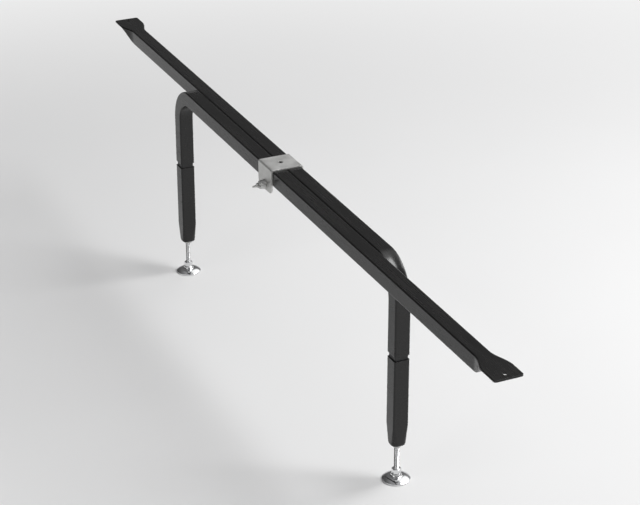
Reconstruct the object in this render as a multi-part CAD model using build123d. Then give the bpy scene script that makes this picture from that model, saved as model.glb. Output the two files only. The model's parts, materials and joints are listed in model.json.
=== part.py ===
"""Adjustable centre support rail for a bed.

Two J-shaped square steel tubes lie side by side. Each starts as a flattened tab at its own side
of the bed and ends in a leg past the middle. A sheet-metal saddle with a cross bolt and a wing
nut clamps them at the width of the bed. Each leg carries a plug-on lower tube and a screw glide.

Millimetres. The origin is on the floor under the middle of the rail, in the plane between the
two tubes. +X runs along the rail, +Y from the front tube to the back tube, +Z up.
"""

from build123d import *
import math
import os

os.makedirs("parts", exist_ok=True)

# Rail tubes
rail_length = 1524.0        # tip of one tab to tip of the other
tube_width = 25.4
tube_wall = 1.5
tube_corner = 2.4
tube_gap = 0.2              # between the two tubes
leg_spread = 798.0          # between the axes of the two legs
bend_radius = 53.0          # centreline of the bend

# Flattened end of a tube
tab_length = 32.0
tab_width = 46.0
tab_end_corner = 5.0
flare_length = 42.0         # from the full tube to the flat tab
flare_steps = 5
press_gap = 0.4             # slit left between the walls at the end of the flare
tab_hole_diameter = 7.0
tab_hole_inset = 12.0       # from the tip of the tab

# Legs, from the floor up
leg_clearance = 66.5        # floor to the end of the lower tube
leg_tube_length = 145.5
collar_height = 8.0
upper_leg_length = 84.8     # straight part below the bend
swage_length = 32.0
swage_width = 24.0
swage_roundness = 0.34      # corner radius as a share of the swaged width

# Coupler between the upper leg and the lower tube
collar_width = 22.0
collar_corner = 2.0
spigot_length = 44.0
spigot_relief = 0.5         # how far the spigot stands back between its bands
spigot_wall = 2.6
band_count = 3
band_height = 5.0
fit_clearance = 0.1

# Plug in the end of the lower tube
plug_length = 21.0
plug_flange_thickness = 2.5
plug_flange_overhang = 0.8  # how far the flange stays inside the tube's outline
plug_bore = 9.0
plug_play = 0.2             # on each side, besides the fit

# Glide
stem_diameter = 8.0
stem_spare = 24.0           # thread above the plug
stem_chamfer = 1.0
thread_clearance = 0.05     # radial
hex_across = 13.0
plug_nut_height = 6.5
pocket_clearance = 0.1
jam_nut_height = 5.0
shoulder_height = 8.0
disc_diameter = 44.0
disc_height = 11.0
disc_rim = 2.2
disc_dome_height = 6.6
disc_foot_diameter = 20.0   # where the dome meets the collar round the stem
disc_collar_diameter = 15.0
disc_crown = 0.9            # how far the dome bulges over a straight cone
rim_ease = 0.6              # corners of the disc turned off
disc_recess_diameter = 30.0
disc_recess_depth = 2.6
rivet_shank_diameter = 7.0
rivet_head_diameter = 13.0
rivet_head_thickness = 1.5
swivel_clearance = 0.08

# Clamp
saddle_length = 52.0
saddle_thickness = 2.5
saddle_clearance = 0.2
saddle_bend = 1.2           # inner radius
saddle_hole_diameter = 8.0
flange_drop = 14.0          # how far the flanges reach below the tubes
flange_corner = 9.0
bolt_drop = 5.0             # bolt axis below the tubes
bolt_diameter = 8.0
bolt_hole_clearance = 0.2
bolt_tail = 5.0             # thread past the wing nut
bolt_head_diameter = 18.4
bolt_head_height = 4.4
bolt_neck_length = 4.0
washer_diameter = 16.0
washer_thickness = 1.6
hub_base_diameter = 16.0
hub_top_diameter = 13.0
hub_height = 8.5
wing_span = 46.0
wing_height = 14.0
wing_radius = 6.5
wing_thickness = 3.2
wing_foot = 2.0             # the wings start this far above the nut's seat
wing_edge = 0.9
wing_turn = 30.0            # degrees from level

# Heights and places that follow from the sizes above
leg_top = leg_clearance + leg_tube_length
upper_leg_end = leg_top + collar_height
bend_level = upper_leg_end + upper_leg_length
tube_axis_height = bend_level + bend_radius
rail_top = tube_axis_height + tube_width / 2
rail_bottom = rail_top - tube_width
tube_offset = (tube_width + tube_gap) / 2
leg_x = leg_spread / 2
bore_width = tube_width - 2 * tube_wall
bore_corner = max(tube_corner - tube_wall, 0.3)
tab_thickness = 2 * tube_wall
tab_tip = rail_length / 2
flare_start = tab_tip - tab_length - flare_length
bolt_height = rail_bottom - bolt_drop
flange_inside = tube_width + tube_gap / 2 + saddle_clearance
flange_outside = flange_inside + saddle_thickness
nut_seat = flange_outside + washer_thickness


def rounded_section(width, height, radius):
    """Rounded rectangle whose radius stays inside its shorter side."""
    largest = min(width, height) / 2 - 0.05
    return RectangleRounded(width, height, min(radius, largest))


def tube_section(outer_width, outer_corner):
    """Hollow square section with an even wall."""
    inner_width = outer_width - 2 * tube_wall
    inner_corner = max(outer_corner - tube_wall, 0.3)
    outer = rounded_section(outer_width, outer_width, outer_corner)
    return outer - rounded_section(inner_width, inner_width, inner_corner)


def across_rail(x, y, z):
    """Plane that cuts the rail at x, facing along +X."""
    return Plane(origin=(x, y, z), x_dir=(0, 1, 0), z_dir=(1, 0, 0))


def level(x, y, z):
    """Horizontal plane at height z, facing up."""
    return Plane(origin=(x, y, z), x_dir=(1, 0, 0), z_dir=(0, 0, 1))


def flare_shape(drop_top, wall_off, smallest):
    """Loft from the full tube to the flat tab. The top stays level and the bottom rises to it."""
    sections = []
    for step in range(flare_steps):
        share = step / (flare_steps - 1)
        ease = share * share * (3 - 2 * share)
        height = tube_width + (tab_thickness - tube_width) * ease
        width = tube_width + (tab_width - tube_width) * ease
        inner_height = max(height - 2 * wall_off, smallest)
        inner_width = width - 2 * wall_off
        middle = rail_top - drop_top - inner_height / 2
        place = across_rail(flare_start + flare_length * share, -tube_offset, middle)
        corner = max(tube_corner - wall_off, 0.3)
        sections.append(place * rounded_section(inner_width, inner_height, corner))
    return loft(sections)


def tab_plate():
    """The flattened end, rounded along its sides and at its two tip corners."""
    start = flare_start + flare_length
    middle = rail_top - tab_thickness / 2
    section = rounded_section(tab_width, tab_thickness, tube_corner)
    bar = extrude(across_rail(start, -tube_offset, middle) * section, tab_length)
    outline = rounded_section(2 * tab_length, tab_width, tab_end_corner)
    keep = extrude(level(start, -tube_offset, middle) * outline, tab_thickness, both=True)
    return bar & keep


def rail_tube():
    """Front rail: tab at +X, straight run, bend, and the upper leg at -X."""
    section = tube_section(tube_width, tube_corner)
    run_start = -leg_x + bend_radius
    run_plane = across_rail(run_start, -tube_offset, tube_axis_height)
    run = extrude(run_plane * section, flare_start - run_start)
    bend_axis = Axis((run_start, -tube_offset, bend_level), (0, -1, 0))
    bend = revolve(run_plane * section, bend_axis, 90)
    leg = extrude(level(-leg_x, -tube_offset, upper_leg_end) * section, upper_leg_length)
    flare = flare_shape(0, 0, tab_thickness) - flare_shape(tube_wall, tube_wall, press_gap)
    hole = Pos(tab_tip - tab_hole_inset, -tube_offset, rail_top)
    hole *= Cylinder(tab_hole_diameter / 2, 4 * tab_thickness)
    return run + bend + leg + flare + tab_plate() - hole


def leg_coupler():
    """Moulded coupler: a narrow collar with a banded spigot into each tube, cored through."""
    full = bore_width - 2 * fit_clearance
    slim = full - 2 * spigot_relief
    core = slim - 2 * spigot_wall
    body = extrude(level(0, 0, leg_top) * rounded_section(collar_width, collar_width, collar_corner),
                   collar_height)
    spigot = rounded_section(slim, slim, bore_corner)
    bottom = leg_top - spigot_length
    body += extrude(level(0, 0, bottom) * spigot, 2 * spigot_length + collar_height)
    band = rounded_section(full, full, bore_corner)
    spacing = (spigot_length - band_height) / band_count
    for index in range(band_count):
        rise = index * spacing + spacing / 2
        body += extrude(level(0, 0, upper_leg_end + rise) * band, band_height)
        body += extrude(level(0, 0, leg_top - rise - band_height) * band, band_height)
    hollow = rounded_section(core, core, bore_corner)
    return body - extrude(level(0, 0, bottom) * hollow, 2 * spigot_length + collar_height)


def leg_tube():
    """Lower tube: square, with its end swaged in and rounded over the plug."""
    straight = leg_tube_length - swage_length
    swage_top = leg_clearance + swage_length
    tube = extrude(level(0, 0, swage_top) * tube_section(tube_width, tube_corner), straight)
    round_corner = swage_width * swage_roundness
    outer = loft([level(0, 0, leg_clearance) * rounded_section(swage_width, swage_width, round_corner),
                  level(0, 0, swage_top) * rounded_section(tube_width, tube_width, tube_corner)])
    end_bore = swage_width - 2 * tube_wall
    inner = loft([level(0, 0, leg_clearance) * rounded_section(end_bore, end_bore,
                                                               round_corner - tube_wall),
                  level(0, 0, swage_top) * rounded_section(bore_width, bore_width, bore_corner)])
    return tube + (outer - inner)


def hex_prism(height):
    """Hexagon with its top and bottom corners turned off."""
    corner = hex_across / math.sqrt(3)
    prism = extrude(RegularPolygon(hex_across / 2, 6, major_radius=False), height)
    blank = Pos(0, 0, height / 2) * Cylinder(corner, height)
    ease = (corner - hex_across / 2) * 0.6
    return prism & chamfer(blank.edges().filter_by(GeomType.CIRCLE), ease)


def hex_nut(height):
    """Hexagon nut, bored to run on the stem."""
    bore = stem_diameter / 2 + thread_clearance
    return hex_prism(height) - Cylinder(bore, 4 * height)


def leg_plug():
    """Plug shaped like the tube's end, with a flange under it and a pocket for its nut on top."""
    round_corner = swage_width * swage_roundness
    inset = tube_wall + fit_clearance + plug_play
    width = swage_width - 2 * inset
    body = extrude(level(0, 0, leg_clearance) * rounded_section(width, width, round_corner - inset),
                   plug_length)
    flange_width = swage_width - 2 * plug_flange_overhang
    flange = rounded_section(flange_width, flange_width, round_corner - plug_flange_overhang)
    body += extrude(level(0, 0, leg_clearance - plug_flange_thickness) * flange, plug_flange_thickness)
    pocket = RegularPolygon(hex_across / 2 + pocket_clearance, 6, major_radius=False)
    pocket_floor = leg_clearance + plug_length - plug_nut_height
    body -= extrude(level(0, 0, pocket_floor) * pocket, plug_nut_height)
    return body - Pos(0, 0, leg_clearance) * Cylinder(plug_bore / 2, 4 * plug_length)


def plug_nut():
    """Steel nut held in the plug's pocket."""
    return Pos(0, 0, leg_clearance + plug_length - plug_nut_height) * hex_nut(plug_nut_height)


def jam_nut():
    """Thin nut tightened against the plug's flange."""
    return Pos(0, 0, leg_clearance - plug_flange_thickness - jam_nut_height) * hex_nut(jam_nut_height)


def glide_stem():
    """Stud with a hexagon shoulder, riveted through the disc."""
    shoulder_level = disc_height + swivel_clearance
    thread_start = shoulder_level + shoulder_height
    thread_end = leg_clearance + plug_length + stem_spare
    thread_length = thread_end - thread_start
    rod = Cylinder(stem_diameter / 2, thread_length, align=(Align.CENTER, Align.CENTER, Align.MIN))
    rod = Pos(0, 0, thread_start) * rod
    rod = chamfer(rod.edges().filter_by(GeomType.CIRCLE).sort_by(Axis.Z)[-1], stem_chamfer)
    head_top = disc_recess_depth - swivel_clearance
    shank = Cylinder(rivet_shank_diameter / 2, shoulder_level - head_top,
                     align=(Align.CENTER, Align.CENTER, Align.MIN))
    head = Cylinder(rivet_head_diameter / 2, rivet_head_thickness,
                    align=(Align.CENTER, Align.CENTER, Align.MAX))
    head = fillet(head.edges().filter_by(GeomType.CIRCLE).sort_by(Axis.Z)[0],
                  rivet_head_thickness * 0.6)
    shoulder = Pos(0, 0, shoulder_level) * hex_prism(shoulder_height)
    return rod + shoulder + Pos(0, 0, head_top) * (shank + head)


def glide_disc():
    """Domed disc that stands on its rim, with a recess for the rivet head underneath."""
    rim = disc_diameter / 2
    foot = disc_foot_diameter / 2
    collar = disc_collar_diameter / 2
    recess = disc_recess_diameter / 2
    bore = rivet_shank_diameter / 2 + swivel_clearance
    collar_rise = disc_height - rim_ease - disc_dome_height
    dome_middle = ((rim + foot) / 2, (disc_rim + disc_dome_height) / 2 + disc_crown)
    collar_middle = (collar + (foot - collar) * 0.3, disc_dome_height + collar_rise * 0.3)
    with BuildPart() as disc:
        with BuildSketch(Plane.XZ):
            with BuildLine():
                Polyline((recess, disc_recess_depth), (recess, 0), (rim - rim_ease, 0), (rim, rim_ease),
                         (rim, disc_rim))
                ThreePointArc((rim, disc_rim), dome_middle, (foot, disc_dome_height))
                ThreePointArc((foot, disc_dome_height), collar_middle, (collar, disc_height - rim_ease))
                Polyline((collar, disc_height - rim_ease), (collar - rim_ease, disc_height),
                         (bore, disc_height), (bore, disc_recess_depth), (recess, disc_recess_depth))
            make_face()
        revolve(axis=Axis.Z)
    return disc.part


def clamp_saddle():
    """Folded strap over both tubes, whose flanges reach below them for the cross bolt."""
    top = rail_top + saddle_clearance + saddle_thickness
    bottom = rail_bottom - flange_drop
    outer_bend = saddle_bend + saddle_thickness
    height = top - bottom

    def fold(half_width, fold_top, radius):
        shape = Rectangle(2 * half_width, height, align=(Align.CENTER, Align.MAX))
        shape = fillet(shape.vertices().sort_by(Axis.Y)[-2:], radius)
        plane = Plane(origin=(-saddle_length / 2, 0, fold_top), x_dir=(0, 1, 0), z_dir=(1, 0, 0))
        return extrude(plane * shape, saddle_length)

    strap = fold(flange_outside, top, outer_bend)
    strap -= fold(flange_inside, top - saddle_thickness, saddle_bend)
    outline = Pos(0, top) * Rectangle(saddle_length, height, align=(Align.CENTER, Align.MAX))
    outline = fillet(outline.vertices().sort_by(Axis.Y)[:2], flange_corner)
    strap &= extrude(Plane.XZ * outline, 2 * flange_outside, both=True)
    hole = bolt_diameter + 2 * bolt_hole_clearance
    front = Pos(0, -flange_outside, bolt_height) * Rot(90, 0, 0)
    strap -= front * Cylinder(hole / 2, 4 * saddle_thickness)
    strap -= Pos(0, flange_outside, bolt_height) * Box(hole, 4 * saddle_thickness, hole)
    return strap - Pos(0, 0, top) * Cylinder(saddle_hole_diameter / 2, 2 * saddle_thickness + 0.2)


def clamp_bolt():
    """Round-head square-neck bolt, from its head behind the back flange to its tail in front."""
    dome_radius = (bolt_head_diameter ** 2 / 4 + bolt_head_height ** 2) / (2 * bolt_head_height)
    dome = Pos(0, 0, bolt_head_height - dome_radius) * Sphere(dome_radius)
    head = dome & (Pos(0, 0, bolt_head_height / 2)
                   * Cylinder(bolt_head_diameter / 2 - 0.4, bolt_head_height))
    neck = Pos(0, 0, -bolt_neck_length / 2) * Box(bolt_diameter, bolt_diameter, bolt_neck_length)
    length = flange_outside + nut_seat + hub_height + bolt_tail
    shank = Cylinder(bolt_diameter / 2, length, align=(Align.CENTER, Align.CENTER, Align.MAX))
    shank = chamfer(shank.edges().filter_by(GeomType.CIRCLE).sort_by(Axis.Z)[0], stem_chamfer)
    bolt = head + neck + shank
    return Pos(0, flange_outside, bolt_height) * Rot(-90, 0, 0) * bolt


def clamp_washer():
    """Flat washer under the wing nut."""
    ring = Cylinder(washer_diameter / 2, washer_thickness)
    ring -= Cylinder(bolt_diameter / 2 + bolt_hole_clearance, 2 * washer_thickness)
    return Pos(0, -flange_outside - washer_thickness / 2, bolt_height) * Rot(90, 0, 0) * ring


def wing_nut():
    """Nut with a tapered hub and two rounded wings that rise away from its seat."""
    hub = Cone(hub_base_diameter / 2, hub_top_diameter / 2, hub_height,
               align=(Align.CENTER, Align.CENTER, Align.MIN))
    lobe_x = wing_span / 2 - wing_radius
    lobe_z = wing_height - wing_radius
    root = hub_top_diameter / 4
    side = Polygon((root, wing_foot), (lobe_x + wing_radius * 0.35, wing_foot + 1.2),
                   (lobe_x, lobe_z + wing_radius), (root, hub_height), align=None)
    lobe = side + Pos(lobe_x, lobe_z) * Circle(wing_radius)
    wing = extrude(Plane.XZ * lobe, wing_thickness / 2, both=True)
    rims = wing.edges().filter_by(lambda edge: abs(edge.center().Y) > wing_thickness * 0.45)
    wing = fillet(rims, wing_edge)
    nut = hub + wing + wing.mirror(Plane.YZ)
    nut -= Cylinder(bolt_diameter / 2 + thread_clearance, 4 * wing_height)
    turned = Rot(0, 0, wing_turn) * nut
    return Pos(0, -nut_seat, bolt_height) * Rot(90, 0, 0) * turned


# Pieces that each leg has once, drawn about the leg's axis
leg_pieces = {
    "leg_coupler": leg_coupler(),
    "leg_tube": leg_tube(),
    "leg_plug": leg_plug(),
    "plug_nut": plug_nut(),
    "jam_nut": jam_nut(),
    "glide_stem": glide_stem(),
    "glide_disc": glide_disc(),
}

front_leg = Pos(-leg_x, -tube_offset, 0)
half_turn = Rot(0, 0, 180)

nodes = {
    "front_rail_tube": rail_tube(),
    "clamp_saddle": clamp_saddle(),
    "clamp_bolt": clamp_bolt(),
    "clamp_washer": clamp_washer(),
    "wing_nut": wing_nut(),
}
for name, piece in leg_pieces.items():
    nodes["front_" + name] = front_leg * piece
    nodes["back_" + name] = half_turn * front_leg * piece
nodes["back_rail_tube"] = half_turn * nodes["front_rail_tube"]

for name, piece in nodes.items():
    export_step(piece, f"parts/{name}.step")
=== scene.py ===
"""Looks of the adjustable centre support rail: finishes, bends, threads, light and camera."""
import json
import math

import bmesh
import bpy
from mathutils import Matrix, Vector


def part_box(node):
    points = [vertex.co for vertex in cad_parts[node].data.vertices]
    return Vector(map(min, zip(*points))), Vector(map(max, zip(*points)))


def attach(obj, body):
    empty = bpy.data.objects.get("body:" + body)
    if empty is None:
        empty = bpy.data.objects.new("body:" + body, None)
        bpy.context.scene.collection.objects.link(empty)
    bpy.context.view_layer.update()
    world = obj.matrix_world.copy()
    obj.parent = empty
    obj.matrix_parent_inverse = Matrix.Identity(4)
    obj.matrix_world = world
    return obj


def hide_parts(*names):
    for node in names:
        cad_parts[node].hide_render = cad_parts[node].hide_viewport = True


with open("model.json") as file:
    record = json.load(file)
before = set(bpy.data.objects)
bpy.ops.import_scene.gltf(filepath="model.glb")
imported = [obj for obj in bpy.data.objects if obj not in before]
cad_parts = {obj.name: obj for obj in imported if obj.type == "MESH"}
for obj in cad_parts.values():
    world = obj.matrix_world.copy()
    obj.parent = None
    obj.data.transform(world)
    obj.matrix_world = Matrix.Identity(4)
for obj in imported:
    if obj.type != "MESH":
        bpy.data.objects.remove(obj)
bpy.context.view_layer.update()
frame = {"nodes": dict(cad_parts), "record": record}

MM = 0.001
SIDES = ("front", "back")

# Camera: the photograph's standpoint, aimed at the rail
camera_place = (2.720, -1.194, 1.662)
camera_target = (0.0057, 0.067, 0.200)
camera_lens = 113.0
sensor_width = 36.0

# Floor: half its width, and how far out the white backdrop begins and is full
floor_half = 40.0
backdrop_start = 0.8
backdrop_full = 2.6
backdrop_white = (0.93, 0.93, 0.93)

# Room that the polished parts reflect: height (0 level, 1 straight up), grey and blue
room_levels = (
    (0.0, 0.85, 0.86),
    (0.06, 0.72, 0.7272),
    (0.24, 0.16, 0.1616),
    (0.70, 0.24, 0.2424),
    (1.0, 0.55, 0.56),
)

# The room is brighter on the key lamp's side, so that polished parts show a light and a dark half
bright_side = (0.25, 0.95, 0.20)
dim_facing, dim_level = -0.6, 0.32
bright_facing, bright_level = 0.9, 1.15

# Bright round patch of wall, full inside one angle from its middle and gone outside the other
patch_direction = Vector((-0.28, 0.62, 0.73)).normalized()
patch_colour = (1.3, 1.3, 1.3)
patch_full = math.radians(17)
patch_gone = math.radians(27)

# Meshes: points this near to each other are one, and edges flatter than the limit look smooth
weld_distance = 1e-7
thread_weld = 1e-6
smooth_limit = math.radians(35)
round_points = 48
arc_steps = 6

# Bend of the rail tubes, whose outer wall sinks a little between its corners
tube_width = 25.4 * MM
tube_corner = 2.4 * MM
tube_wall = 1.5 * MM
bend_radius = 53.0 * MM
wall_sink = 1.2 * MM
wall_margin = 0.3 * MM
bend_steps = 30
wall_cuts = 11
flare_reach = 74.0 * MM
plane_tolerance = 0.01 * MM
crack_rounds = 5

# Thread of the 8 mm stems and cross bolt, with the shares of a pitch where crest and root
# start and end
thread_pitch = 1.25 * MM
thread_depth = 0.68 * MM
thread_steps = 32
crest_start, crest_end = 0.0, 0.11
root_start, root_end = 0.46, 0.57
spare_turns = 2
rod_radius = 4.0 * MM
rod_chamfer = 1.0 * MM

# Stem below its thread: hexagon shoulder with turned corners, and the rivet through the disc
hex_across = 13.0 * MM
hex_points = 72
hex_turned_share = 0.97
hex_corner_slope = math.tan(math.radians(28))
shoulder_height = 8.0 * MM
swivel_clearance = 0.08 * MM
shank_radius = 3.5 * MM
rivet_head_radius = 6.5 * MM
rivet_head_height = 1.5 * MM
rivet_ease_share = 0.6
rivet_flat_radius = 0.6 * MM

# Cross bolt
bolt_head_radius = 8.8 * MM
bolt_head_height = 4.4 * MM
bolt_rim_height = 0.5 * MM
dome_steps = 8
dome_tip_radius = 0.2 * MM
bolt_neck_width = 8.0 * MM
bolt_neck_length = 4.0 * MM
bolt_neck_chamfer = 0.6 * MM
bolt_thread_length = 50.0 * MM
bolt_shank_step = 0.3 * MM


class NodeTree:
    """Small helper that adds nodes to one material or world and links them."""

    def __init__(self, owner):
        owner.use_nodes = True
        self.nodes = owner.node_tree.nodes
        self.links = owner.node_tree.links

    def add(self, kind, **settings):
        node = self.nodes.new(kind)
        for key, value in settings.items():
            setattr(node, key, value)
        return node

    def spread(self, value, low, high, start=0.35, end=0.65, curve="LINEAR"):
        """Value between start and end becomes a number between low and high."""
        node = self.add("ShaderNodeMapRange", interpolation_type=curve)
        node.inputs["From Min"].default_value = start
        node.inputs["From Max"].default_value = end
        node.inputs["To Min"].default_value = low
        node.inputs["To Max"].default_value = high
        self.links.new(value, node.inputs["Value"])
        return node.outputs["Result"]

    def combine(self, operation, first, second):
        node = self.add("ShaderNodeMath", operation=operation)
        for socket, value in zip(node.inputs, (first, second)):
            if isinstance(value, (int, float)):
                socket.default_value = value
            else:
                self.links.new(value, socket)
        return node.outputs["Value"]

    def dot(self, first, second):
        """Dot product of a socket with another socket or a fixed direction."""
        node = self.add("ShaderNodeVectorMath", operation="DOT_PRODUCT")
        self.links.new(first, node.inputs[0])
        if isinstance(second, (tuple, Vector)):
            node.inputs[1].default_value = second
        else:
            self.links.new(second, node.inputs[1])
        return node.outputs["Value"]

    def mix(self, amount, first, second):
        """Colour between first and second, each a colour or a socket."""
        node = self.add("ShaderNodeMix", data_type="RGBA")
        self.links.new(amount, node.inputs["Factor"])
        for name, value in (("A", first), ("B", second)):
            socket = [s for s in node.inputs if s.name == name and s.type == "RGBA"][0]
            if isinstance(value, tuple):
                socket.default_value = (*value, 1.0)
            else:
                self.links.new(value, socket)
        return [s for s in node.outputs if s.type == "RGBA"][0]


class Shader(NodeTree):
    """Node tree of one new material with a principled surface."""

    def __init__(self, name):
        self.material = bpy.data.materials.new(name)
        super().__init__(self.material)
        self.surface = self.nodes["Principled BSDF"]
        self.place = self.add("ShaderNodeTexCoord").outputs["Object"]

    def set(self, **values):
        for key, value in values.items():
            self.surface.inputs[key.replace("_", " ")].default_value = value

    def to(self, socket_name, value):
        self.links.new(value, self.surface.inputs[socket_name])

    def stretch(self, scale):
        """Object coordinates scaled by a different amount along each axis."""
        node = self.add("ShaderNodeMapping")
        node.inputs["Scale"].default_value = scale
        self.links.new(self.place, node.inputs["Vector"])
        return node.outputs["Vector"]

    def noise(self, scale, detail=3.0, rough=0.55, vector=None):
        node = self.add("ShaderNodeTexNoise")
        node.inputs["Scale"].default_value = scale
        node.inputs["Detail"].default_value = detail
        node.inputs["Roughness"].default_value = rough
        self.links.new(vector or self.place, node.inputs["Vector"])
        return node.outputs["Fac"]

    def soft_edges(self, radius):
        """Normal that rounds the sharp edges, and how near each point is to one."""
        bevel = self.add("ShaderNodeBevel", samples=6)
        bevel.inputs["Radius"].default_value = radius
        geometry = self.add("ShaderNodeNewGeometry")
        facing = self.dot(bevel.outputs["Normal"], geometry.outputs["Normal"])
        return bevel.outputs["Normal"], self.spread(facing, 1.0, 0.0, start=0.86, end=0.995)

    def bumps(self, normal, *layers):
        """Stack of bump layers, each (height, strength, distance)."""
        for height, strength, distance in layers:
            node = self.add("ShaderNodeBump")
            node.inputs["Strength"].default_value = strength
            node.inputs["Distance"].default_value = distance
            self.links.new(height, node.inputs["Height"])
            self.links.new(normal, node.inputs["Normal"])
            normal = node.outputs["Normal"]
        self.to("Normal", normal)


def rail_paint():
    """Black baked powder paint: gloss with orange peel, faint smears and thin edges."""
    s = Shader("rail_paint")
    s.set(IOR=1.46)
    normal, near_edge = s.soft_edges(0.5 * MM)
    peel = s.noise(scale=700, detail=2.0)
    ripple = s.noise(scale=70, detail=2.0)
    smear = s.noise(scale=9, detail=5.0, rough=0.6, vector=s.stretch((1.0, 5.0, 5.0)))
    scuff = s.noise(scale=60, detail=6.0, rough=0.7, vector=s.stretch((0.25, 6.0, 6.0)))
    speck = s.noise(scale=1600, detail=1.0)
    dust = s.spread(speck, 0.0, 1.0, start=0.70, end=0.80)
    colour = s.mix(smear, (0.0040, 0.0039, 0.0037), (0.0070, 0.0067, 0.0063))
    worn = s.combine("MULTIPLY", near_edge, s.spread(scuff, 0.0, 0.55, start=0.48, end=0.72))
    colour = s.mix(worn, colour, (0.045, 0.043, 0.041))
    colour = s.mix(s.combine("MULTIPLY", dust, 0.25), colour, (0.07, 0.07, 0.067))
    s.to("Base Color", colour)
    streaks = s.spread(scuff, 0.0, 0.08, start=0.50, end=0.75)
    s.to("Roughness", s.combine("ADD", s.spread(smear, 0.20, 0.30), streaks))
    s.bumps(normal, (ripple, 0.05, 0.4 * MM), (peel, 0.10, 0.12 * MM), (dust, 0.15, 0.05 * MM))
    return s.material


def black_plastic():
    """Moulded black nylon with a fine spark-eroded grain."""
    s = Shader("black_plastic")
    s.set(IOR=1.48)
    normal, near_edge = s.soft_edges(0.35 * MM)
    grain = s.noise(scale=2600, detail=2.0)
    flow = s.noise(scale=45, detail=3.0, rough=0.6, vector=s.stretch((1.0, 1.0, 0.4)))
    colour = s.mix(flow, (0.009, 0.009, 0.0095), (0.017, 0.017, 0.0175))
    # Painted highlight: every edge is painted a lighter grey
    s.to("Base Color", s.mix(near_edge, colour, (0.030, 0.030, 0.031)))
    s.to("Roughness", s.spread(flow, 0.42, 0.56))
    s.bumps(normal, (grain, 0.25, 0.06 * MM), (flow, 0.08, 0.2 * MM))
    return s.material


def zinc_sheet():
    """Satin zinc on folded sheet: rolling lines, clouds in the plating, and a painted highlight along the
    edges.
    """
    s = Shader("zinc_sheet")
    s.set(Metallic=0.8)
    normal, near_edge = s.soft_edges(0.45 * MM)
    rolled = s.noise(scale=900, detail=4.0, rough=0.7, vector=s.stretch((0.03, 1.0, 1.0)))
    cloud = s.noise(scale=55, detail=4.0, rough=0.6)
    grit = s.noise(scale=1500, detail=3.0)
    colour = s.mix(s.spread(cloud, 0.0, 1.0), (0.57, 0.57, 0.552), (0.69, 0.69, 0.676))
    colour = s.mix(s.spread(rolled, 0.0, 0.35), colour, (0.50, 0.50, 0.495))
    # Painted highlight: every edge is painted a brighter zinc colour
    s.to("Base Color", s.mix(s.combine("MULTIPLY", near_edge, 0.7), colour, (0.88, 0.88, 0.87)))
    s.to("Roughness", s.combine("ADD", s.spread(cloud, 0.42, 0.54), s.spread(rolled, -0.03, 0.05)))
    s.bumps(normal, (rolled, 0.10, 0.05 * MM), (grit, 0.08, 0.04 * MM), (cloud, 0.03, 0.3 * MM))
    return s.material


def zinc_hardware():
    """Bright zinc on cast and turned hardware."""
    s = Shader("zinc_hardware")
    s.set(Metallic=1.0)
    normal, near_edge = s.soft_edges(0.3 * MM)
    cast = s.noise(scale=620, detail=4.0, rough=0.65)
    cloud = s.noise(scale=80, detail=3.0)
    colour = s.mix(s.spread(cloud, 0.0, 1.0), (0.42, 0.42, 0.415), (0.55, 0.55, 0.54))
    # Painted highlight: every edge is painted a brighter zinc colour
    s.to("Base Color", s.mix(s.combine("MULTIPLY", near_edge, 0.8), colour, (0.70, 0.70, 0.69)))
    s.to("Roughness", s.spread(cast, 0.26, 0.40))
    s.bumps(normal, (cast, 0.12, 0.07 * MM), (cloud, 0.04, 0.2 * MM))
    return s.material


def chrome():
    """Polished chrome plate with hairline rub marks."""
    s = Shader("chrome")
    s.set(Metallic=1.0)
    normal, near_edge = s.soft_edges(0.25 * MM)
    rub = s.noise(scale=1200, detail=5.0, rough=0.75, vector=s.stretch((0.2, 1.0, 1.0)))
    haze = s.noise(scale=60, detail=3.0)
    colour = s.mix(s.spread(haze, 0.0, 1.0), (0.70, 0.705, 0.71), (0.78, 0.785, 0.79))
    # Painted highlight: every edge is painted a brighter chrome colour
    s.to("Base Color", s.mix(near_edge, colour, (0.86, 0.86, 0.865)))
    s.to("Roughness", s.combine("ADD", s.spread(haze, 0.07, 0.13), s.spread(rub, 0.0, 0.05)))
    s.bumps(normal, (rub, 0.03, 0.03 * MM), (haze, 0.02, 0.2 * MM))
    return s.material


def floor_paper():
    """Pale matt studio floor, which turns to a white backdrop away from the rail."""
    s = Shader("floor_paper")
    s.set(Specular_IOR_Level=0.15)
    cloud = s.noise(scale=1.3, detail=3.0)
    s.to("Base Color", s.mix(cloud, (0.74, 0.74, 0.74), (0.78, 0.78, 0.78)))
    s.to("Roughness", s.spread(cloud, 0.75, 0.85))
    distance = s.add("ShaderNodeVectorMath", operation="LENGTH")
    s.links.new(s.place, distance.inputs[0])
    far = s.spread(distance.outputs["Value"], 0.0, 1.0, backdrop_start, backdrop_full, "SMOOTHSTEP")
    path = s.add("ShaderNodeLightPath")
    seen = s.combine("MAXIMUM", path.outputs["Is Camera Ray"], path.outputs["Is Glossy Ray"])
    seen = s.combine("MAXIMUM", seen, path.outputs["Is Transmission Ray"])
    white = s.add("ShaderNodeEmission")
    white.inputs["Color"].default_value = (*backdrop_white, 1.0)
    blend = s.add("ShaderNodeMixShader")
    s.links.new(s.combine("MULTIPLY", far, seen), blend.inputs["Fac"])
    s.links.new(s.surface.outputs["BSDF"], blend.inputs[1])
    s.links.new(white.outputs["Emission"], blend.inputs[2])
    s.links.new(blend.outputs["Shader"], s.nodes["Material Output"].inputs["Surface"])
    return s.material


materials = {
    "rail_paint": rail_paint(),
    "black_plastic": black_plastic(),
    "zinc_sheet": zinc_sheet(),
    "zinc_hardware": zinc_hardware(),
    "chrome": chrome(),
}


def paint(obj, slot_name):
    obj.data.materials.clear()
    obj.data.materials.append(materials[slot_name])


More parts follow.
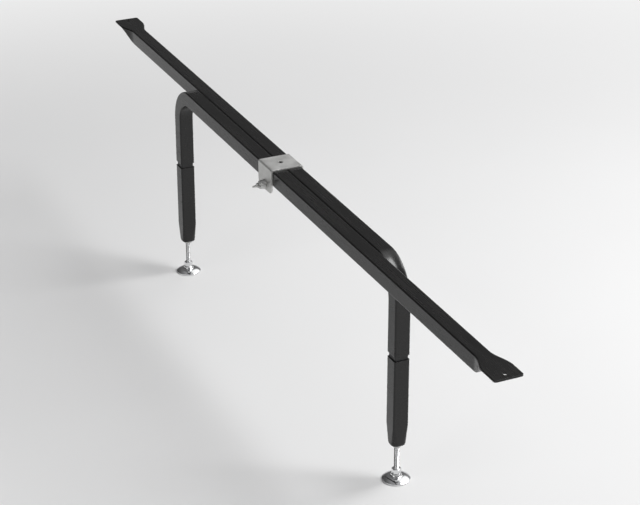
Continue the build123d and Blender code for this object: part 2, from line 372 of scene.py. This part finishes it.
def add_piece(name, shell, place, slot_name, body, faces_outwards=False):
    """Makes an object from a bmesh drawn about its own axis, moved to its place in the mesh."""
    bmesh.ops.remove_doubles(shell, verts=shell.verts, dist=weld_distance)
    if not faces_outwards:
        bmesh.ops.recalc_face_normals(shell, faces=shell.faces)
    shell.transform(place)
    for face in shell.faces:
        face.smooth = True
    for edge in shell.edges:
        edge.smooth = len(edge.link_faces) == 2 and edge.calc_face_angle(0.0) < smooth_limit
    mesh = bpy.data.meshes.new(name)
    shell.to_mesh(mesh)
    shell.free()
    obj = bpy.data.objects.new(name, mesh)
    bpy.context.scene.collection.objects.link(obj)
    paint(obj, slot_name)
    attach(obj, body)
    return obj


def close_holes(shell):
    open_edges = [edge for edge in shell.edges if edge.is_boundary]
    bmesh.ops.holes_fill(shell, edges=open_edges, sides=0)


def grid_shell(rows):
    """Skin over rows of points that each go once round, with flat caps."""
    shell = bmesh.new()
    rings = [[shell.verts.new(point) for point in row] for row in rows]
    count = len(rows[0])
    for lower, upper in zip(rings, rings[1:]):
        for index in range(count):
            following = (index + 1) % count
            shell.faces.new((lower[index], lower[following], upper[following], upper[index]))
    shell.faces.new(list(reversed(rings[0])))
    shell.faces.new(rings[-1])
    return shell


def round_row(radius, height):
    turn = 2 * math.pi / round_points
    return [(radius * math.cos(turn * i), radius * math.sin(turn * i), height)
            for i in range(round_points)]


def lathe(profile):
    return grid_shell([round_row(radius, height) for radius, height in profile])


def arc_profile(centre_radius, centre_height, radius, start, end):
    """Points of an arc of the profile, from one angle to another in degrees from outwards."""
    points = []
    for step in range(arc_steps + 1):
        angle = math.radians(start + (end - start) * step / arc_steps)
        points.append((centre_radius + radius * math.cos(angle), centre_height + radius * math.sin(angle)))
    return points


def hex_block(height):
    """Hexagon whose corners are turned off at both ends, as on a wrench shoulder."""
    flat = hex_across / 2
    turned = flat * hex_turned_share

    def row(level, sign, outer):
        points = []
        for index in range(hex_points):
            angle = 2 * math.pi * index / hex_points
            radius = flat / math.cos(angle % (math.pi / 3) - math.pi / 6) if outer else turned
            rise = level - sign * (radius - turned) * hex_corner_slope
            points.append((radius * math.cos(angle), radius * math.sin(angle), rise))
        return points

    return grid_shell([row(0.0, -1, False), row(0.0, -1, True), row(height, 1, True),
                       row(height, 1, False)])


def threaded_rod(length):
    """Rod along +Z whose thread runs out at the foot and has a chamfered tip."""
    root_radius = rod_radius - thread_depth
    profile = ((crest_start, rod_radius), (crest_end, rod_radius),
               (root_start, root_radius), (root_end, root_radius))
    turns = int(length / thread_pitch) + spare_turns
    shell = bmesh.new()
    columns = []
    for step in range(turns * thread_steps + 1):
        angle = 2 * math.pi * step / thread_steps
        column = []
        for share, radius in profile:
            height = (step / thread_steps + share - 1.0) * thread_pitch
            tip_limit = rod_radius - max(0.0, height - (length - rod_chamfer))
            level = min(max(height, 0.0), length)
            reach = max(min(radius, tip_limit), rod_radius - rod_chamfer)
            column.append(shell.verts.new((reach * math.cos(angle), reach * math.sin(angle), level)))
        columns.append(column)
    for step in range(len(columns) - 1):
        here, following = columns[step], columns[step + 1]
        for index in range(len(profile) - 1):
            shell.faces.new((here[index], following[index], following[index + 1], here[index + 1]))
        if step + thread_steps + 1 < len(columns):
            above, above_next = columns[step + thread_steps], columns[step + thread_steps + 1]
            shell.faces.new((here[-1], following[-1], above_next[0], above[0]))
    bmesh.ops.remove_doubles(shell, verts=shell.verts, dist=thread_weld)
    bmesh.ops.dissolve_degenerate(shell, dist=thread_weld, edges=shell.edges)
    close_holes(shell)
    return shell


def boundary_loops(shell, on_plane):
    """Rows of boundary points that follow each other round, each row on one plane."""
    shell.verts.index_update()
    left = [vert for vert in shell.verts if vert.is_boundary and on_plane(vert)]
    rows = []
    while left:
        vert = left.pop(0)
        row = [vert]
        while vert:
            edges = [edge for edge in vert.link_edges if edge.is_boundary]
            following = [edge.other_vert(vert) for edge in edges if edge.other_vert(vert) in left]
            vert = min(following, key=lambda other: other.index) if following else None
            if vert:
                left.remove(vert)
                row.append(vert)
        rows.append(row)
    return rows


def touching_groups(faces):
    """Groups of the faces that share edges with one another."""
    left = set(faces)
    groups = []
    for first in faces:
        if first not in left:
            continue
        left.remove(first)
        group = []
        queue = [first]
        while queue:
            face = queue.pop()
            group.append(face)
            for edge in face.edges:
                for other in edge.link_faces:
                    if other in left:
                        left.remove(other)
                        queue.append(other)
        groups.append(group)
    return groups


class Bend:
    """Where one rail tube bends down into its leg, and which points lie at the bend's ends."""

    def __init__(self, side):
        low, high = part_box(f"{side}_rail_tube")
        self.towards = -1 if side == "front" else 1
        leg_face = low.x if side == "front" else high.x
        self.centre_x = leg_face - self.towards * (tube_width / 2 + bend_radius)
        self.centre_y = (low.y + high.y) / 2
        self.centre_z = high.z - tube_width / 2 - bend_radius
        self.tip = max(high.x, -low.x)
        self.outer_wall = bend_radius + tube_width / 2 - tube_wall - wall_margin
        self.flat_half = tube_width / 2 - tube_corner

    def along(self, vert):
        """Distance from the bend's centre towards the leg."""
        return self.towards * (vert.co.x - self.centre_x)

    def above(self, vert):
        return vert.co.z - self.centre_z

    def from_tip(self, vert):
        """Distance from the tip of the tab at the tube's other end."""
        return self.tip + self.towards * vert.co.x

    def at_run(self, vert):
        return abs(self.along(vert)) < plane_tolerance and self.above(vert) > 0

    def at_leg(self, vert):
        return abs(self.above(vert)) < plane_tolerance and self.along(vert) > plane_tolerance

    def holds(self, face):
        return all(min(self.along(vert), self.above(vert)) > -plane_tolerance for vert in face.verts)

    def crossed_by(self, edge):
        """True for the edges across the outer wall at either end of the bend."""
        first, second = edge.verts
        on_run = self.at_run(first) and self.at_run(second) and self.above(first) > self.outer_wall
        on_leg = self.at_leg(first) and self.at_leg(second) and self.along(first) > self.outer_wall
        across = abs(first.co.y - second.co.y) > self.flat_half
        return edge.is_boundary and across and (on_run or on_leg)

    def swept(self, vert, turn):
        """Place of a point of the run's end after a turn round the bend, sunk in the outer wall."""
        radius = self.above(vert)
        aside = vert.co.y - self.centre_y
        if radius > self.outer_wall and abs(aside) < self.flat_half:
            across = math.cos(math.pi / 2 * aside / self.flat_half)
            radius -= wall_sink * (across * math.sin(2 * turn)) ** 2
        x = self.centre_x + self.towards * radius * math.sin(turn)
        return x, vert.co.y, self.centre_z + radius * math.cos(turn)

    def leg_end(self, row, leg_points):
        """Points of the leg that a row of the run's end meets after the whole bend."""
        points = []
        for vert in row:
            goal = Vector((self.centre_x + self.towards * self.above(vert), vert.co.y, self.centre_z))
            points.append(min(leg_points, key=lambda point: (point.co - goal).length))
        return points


def close_bore(tube, bend):
    """Ends the bore where the flare begins, as its pressed slit beyond that is never seen."""
    end_faces = []
    for face in tube.faces:
        if all(bend.from_tip(vert) < flare_reach + plane_tolerance for vert in face.verts):
            end_faces.append(face)
    lining = []
    for group in touching_groups(end_faces):
        if min(bend.from_tip(vert) for face in group for vert in face.verts) > plane_tolerance:
            lining += group
    bmesh.ops.delete(tube, geom=lining, context="FACES")
    close_holes(tube)


def sweep_bend(tube, bend):
    """Puts a finely stepped bend in place of the old one."""
    old_faces = [face for face in tube.faces if bend.holds(face)]
    bmesh.ops.delete(tube, geom=old_faces, context="FACES")
    wide = [edge for edge in tube.edges if bend.crossed_by(edge)]
    bmesh.ops.subdivide_edges(tube, edges=wide, cuts=wall_cuts)
    leg_points = [vert for row in boundary_loops(tube, bend.at_leg) for vert in row]
    for row in boundary_loops(tube, bend.at_run):
        rings = [row]
        for step in range(1, bend_steps):
            turn = math.pi / 2 * step / bend_steps
            rings.append([tube.verts.new(bend.swept(vert, turn)) for vert in row])
        rings.append(bend.leg_end(row, leg_points))
        for upper, lower in zip(rings, rings[1:]):
            for index in range(len(row)):
                before = index - 1
                tube.faces.new((upper[index], upper[before], lower[before], lower[index]))
    bmesh.ops.recalc_face_normals(tube, faces=tube.faces)


def close_cracks(tube):
    """Closes the hair cracks between the flare's finest facets."""
    for attempt in range(crack_rounds):
        cracked = [face for face in tube.faces if any(not edge.is_manifold for edge in face.edges)]
        bmesh.ops.delete(tube, geom=cracked, context="FACES")
        close_holes(tube)


def rebent_tube(side):
    """Copy of the rail tube, its bend swept again in fine steps with the outer wall sunk."""
    bend = Bend(side)
    tube = bmesh.new()
    tube.from_mesh(frame["nodes"][f"{side}_rail_tube"].data)
    bmesh.ops.remove_doubles(tube, verts=tube.verts, dist=weld_distance)
    close_bore(tube, bend)
    sweep_bend(tube, bend)
    close_cracks(tube)
    return tube


def dress_stem(side):
    """Threaded stem with a wrench shoulder and a rivet head under the disc."""
    node, body = f"{side}_glide_stem", f"{side}_stem"
    stem_low, stem_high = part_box(node)
    disc_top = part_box(f"{side}_glide_disc")[1].z
    nut_low, nut_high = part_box(f"{side}_jam_nut")
    axis = (nut_low + nut_high) / 2
    shoulder_low = disc_top + swivel_clearance
    shoulder_top = shoulder_low + shoulder_height
    place = Matrix.Translation((axis.x, axis.y, shoulder_top))
    rod = add_piece(f"{side}_stem_thread", threaded_rod(stem_high.z - shoulder_top), place, "chrome", body)
    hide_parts(node)
    place = Matrix.Translation((axis.x, axis.y, shoulder_low))
    add_piece(f"{side}_stem_shoulder", hex_block(shoulder_height), place, "chrome", body)
    ease = rivet_head_height * rivet_ease_share
    rivet = [(rivet_flat_radius, 0.0), *arc_profile(rivet_head_radius - ease, ease, ease, -90, 0),
             (rivet_head_radius, rivet_head_height), (shank_radius, rivet_head_height),
             (shank_radius, shoulder_low - stem_low.z)]
    place = Matrix.Translation((axis.x, axis.y, stem_low.z))
    add_piece(f"{side}_stem_rivet", lathe(rivet), place, "chrome", body)


def bolt_dome():
    """Profile of the bolt's head: a low rim and a dome over it."""
    dome_radius = (bolt_head_radius ** 2 + bolt_head_height ** 2) / (2 * bolt_head_height)
    profile = [(bolt_head_radius, 0.0), (bolt_head_radius, bolt_rim_height)]
    for step in range(1, dome_steps + 1):
        radius = bolt_head_radius * math.cos(step / dome_steps * math.pi / 2)
        rise = math.sqrt(dome_radius ** 2 - radius ** 2) - (dome_radius - bolt_head_height)
        profile.append((max(radius, dome_tip_radius), max(rise, bolt_rim_height)))
    return profile


def bolt_neck():
    """Rows of the square neck, chamfered where it ends in the shank."""
    half = bolt_neck_width / 2
    levels = ((0.0, half), (bolt_neck_length - bolt_neck_chamfer, half),
              (bolt_neck_length, half - bolt_neck_chamfer))
    corners = ((1, 1), (-1, 1), (-1, -1), (1, -1))
    return [[(x * reach, y * reach, height) for x, y in corners] for height, reach in levels]


def dress_bolt():
    """Cross bolt, from its domed head behind to its threaded tail in front."""
    bolt_low, bolt_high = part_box("clamp_bolt")
    bolt_middle = (bolt_low + bolt_high) / 2
    bolt_length = bolt_high.y - bolt_low.y - bolt_head_height
    plain_length = bolt_length - bolt_thread_length
    seat = Matrix.Translation((bolt_middle.x, bolt_high.y - bolt_head_height, bolt_middle.z))
    backwards = seat @ Matrix.Rotation(math.radians(-90), 4, "X")
    forwards = seat @ Matrix.Rotation(math.radians(90), 4, "X")
    head = add_piece("bolt_head", lathe(bolt_dome()), backwards, "zinc_hardware", "clamp")
    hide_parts("clamp_bolt")
    add_piece("bolt_neck", grid_shell(bolt_neck()), forwards, "zinc_hardware", "clamp")
    shank_radius_inside = rod_radius - bolt_shank_step
    shank = [(shank_radius_inside, 0.0), (shank_radius_inside, plain_length)]
    add_piece("bolt_shank", lathe(shank), forwards, "zinc_hardware", "clamp")
    thread_place = forwards @ Matrix.Translation((0, 0, plain_length))
    add_piece("bolt_thread", threaded_rod(bolt_thread_length), thread_place, "zinc_hardware", "clamp")


def studio_room():
    """World light: the room that the polished parts reflect."""
    world = bpy.data.worlds.new("studio")
    bpy.context.scene.world = world
    tree = NodeTree(world)
    background = tree.nodes["Background"]
    direction = tree.add("ShaderNodeTexCoord").outputs["Generated"]
    split = tree.add("ShaderNodeSeparateXYZ")
    tree.links.new(direction, split.inputs["Vector"])
    ramp = tree.add("ShaderNodeValToRGB")
    tree.links.new(split.outputs["Z"], ramp.inputs["Fac"])
    stops = ramp.color_ramp.elements
    stops.remove(stops[1])
    for height, grey, blue in room_levels:
        stop = stops.new(height) if height else stops[0]
        stop.color = (grey, grey, blue, 1)
    strength = tree.spread(tree.dot(direction, bright_side), dim_level, bright_level,
                           dim_facing, bright_facing, "SMOOTHSTEP")
    tree.links.new(strength, background.inputs["Strength"])
    patch = tree.spread(tree.dot(direction, patch_direction), 0.0, 1.0,
                        math.cos(patch_gone), math.cos(patch_full), "SMOOTHSTEP")
    colour = tree.mix(patch, ramp.outputs["Color"], patch_colour)
    tree.links.new(colour, background.inputs["Color"])


def aim_at(obj, place, target):
    """Puts a lamp or camera in its place and turns it to its target."""
    obj.location = place
    aim = Vector(target) - Vector(place)
    obj.rotation_euler = aim.to_track_quat("-Z", "Y").to_euler()
    bpy.context.scene.collection.objects.link(obj)


def softbox(name, place, target, width, height, watts):
    data = bpy.data.lights.new(name, "AREA")
    data.shape = "RECTANGLE"
    data.size = width
    data.size_y = height
    data.energy = watts
    lamp = bpy.data.objects.new(name, data)
    aim_at(lamp, place, target)


# Every carried-over solid gets the finish of its slot
slots = {row["node"]: row["material_slot"] for row in frame["record"]["subparts"]}
for node, obj in frame["nodes"].items():
    paint(obj, slots[node])

# Pieces that take the place of plainer solids
for side in SIDES:
    tube = add_piece(f"{side}_bent_tube", rebent_tube(side), Matrix.Identity(4), "rail_paint",
                     f"{side}_rail", faces_outwards=True)
    tube.modifiers.new("even_shading", "WEIGHTED_NORMAL").keep_sharp = True
    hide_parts(f"{side}_rail_tube")
for side in SIDES:
    dress_stem(side)
dress_bolt()

# Studio
floor_mesh = bmesh.new()
bmesh.ops.create_grid(floor_mesh, x_segments=1, y_segments=1, size=floor_half)
floor_data = bpy.data.meshes.new("studio_floor")
floor_mesh.to_mesh(floor_data)
floor_mesh.free()
studio_floor = bpy.data.objects.new("studio_floor", floor_data)
bpy.context.scene.collection.objects.link(studio_floor)
studio_floor.data.materials.append(floor_paper())

studio_room()
softbox("key_softbox", place=(0.7, 1.9, 2.6), target=(0, 0, 0.2), width=1.8, height=1.8, watts=95)
softbox("fill_softbox", place=(0.8, -2.8, 2.1), target=(0, 0, 0.25), width=2.2, height=1.4, watts=18)

camera_data = bpy.data.cameras.new("camera")
camera_data.lens = camera_lens
camera_data.sensor_width = sensor_width
camera = bpy.data.objects.new("camera", camera_data)
aim_at(camera, camera_place, camera_target)
bpy.context.scene.camera = camera

bpy.context.scene.view_settings.view_transform = "Standard"
